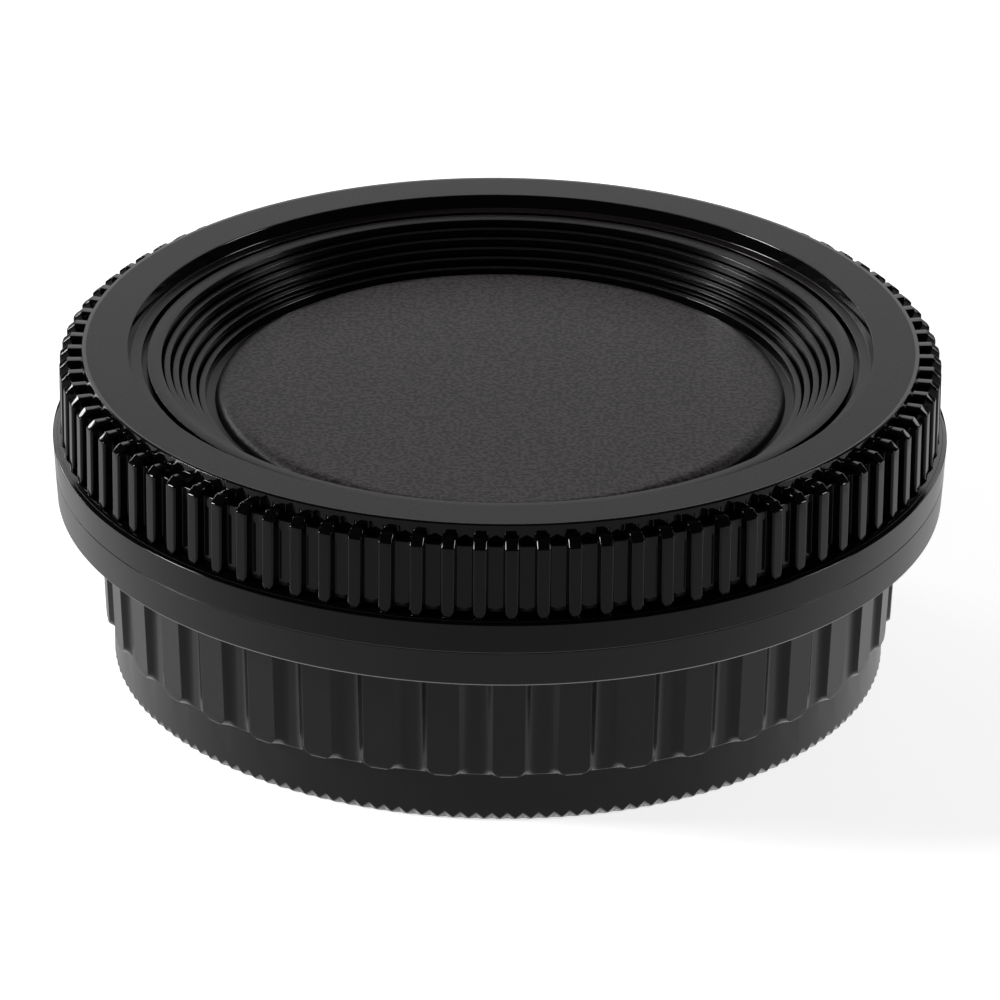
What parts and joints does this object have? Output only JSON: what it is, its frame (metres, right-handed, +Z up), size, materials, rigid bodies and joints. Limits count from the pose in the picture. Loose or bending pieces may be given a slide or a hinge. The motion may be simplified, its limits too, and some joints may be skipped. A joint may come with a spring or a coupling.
{
  "type": "camera body cap locked onto a rear lens cap",
  "caption": "Round black plastic body cap with a knurled rim and a stepped recess, twisted by its bayonet onto a cup-shaped rear lens cap with a fluted wall.",
  "frame": {"origin": "on the caps' axis, at the surface that the rear lens cap's foot stands on", "axes": "+Z up along the axis that both caps turn on, from the rear lens cap's foot to the body cap's face; -Y is the side that the picture shows"},
  "size_m": [0.0654, 0.0654, 0.0244],
  "materials": {
    "body_cap_plastic": "polished mould black on the knurled rim, fine spark-eroded matte on the top ring and disc",
    "rear_cap_plastic": "satin black moulded plastic"
  },
  "bodies": {
    "rear_cap": {"rear_lens_cap": "rear_cap_plastic"},
    "front_cap": {"body_cap": "body_cap_plastic"}
  },
  "joints": [
    {"name": "bayonet_twist", "type": "hinge", "parent": "rear_cap", "child": "front_cap", "pos_m": [0, 0, 0.0154], "axis": [0, 0, 1], "range_deg": [0, 60]}
  ]
}
